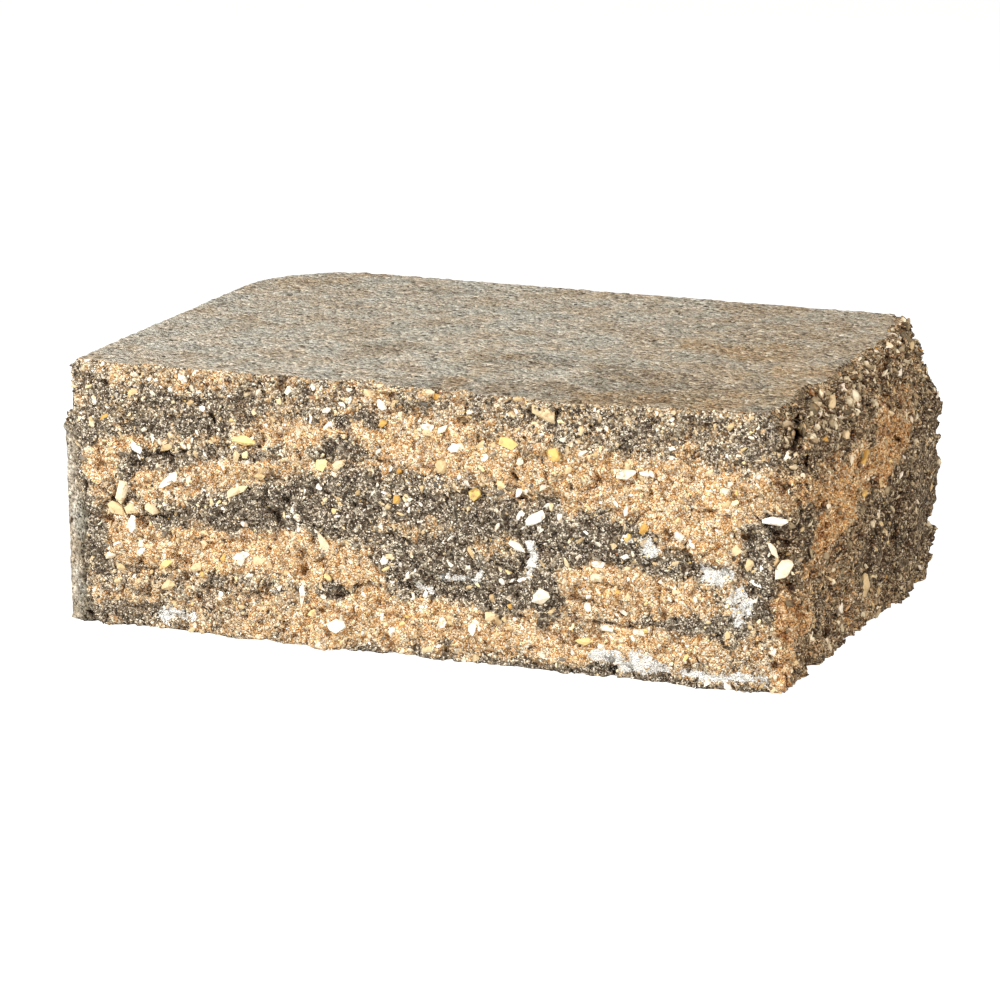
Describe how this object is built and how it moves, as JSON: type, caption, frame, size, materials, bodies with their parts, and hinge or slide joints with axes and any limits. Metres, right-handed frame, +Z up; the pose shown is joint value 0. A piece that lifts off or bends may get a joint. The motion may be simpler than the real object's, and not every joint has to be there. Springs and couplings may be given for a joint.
{
  "type": "retaining wall block",
  "caption": "Solid dry-cast concrete block for a garden retaining wall, with a rough split face, a broken end, and plain moulded beds, back and side.",
  "frame": {"origin": "middle of the bottom bed, where the block rests on the course below", "axes": "+X along the split face from the moulded side to the broken end, +Y from the split face to the back, +Z up"},
  "size_m": [0.2916, 0.195, 0.1016],
  "materials": {
    "concrete": "matte"
  },
  "bodies": {
    "root": {"wall_block": "concrete"}
  },
  "joints": []
}
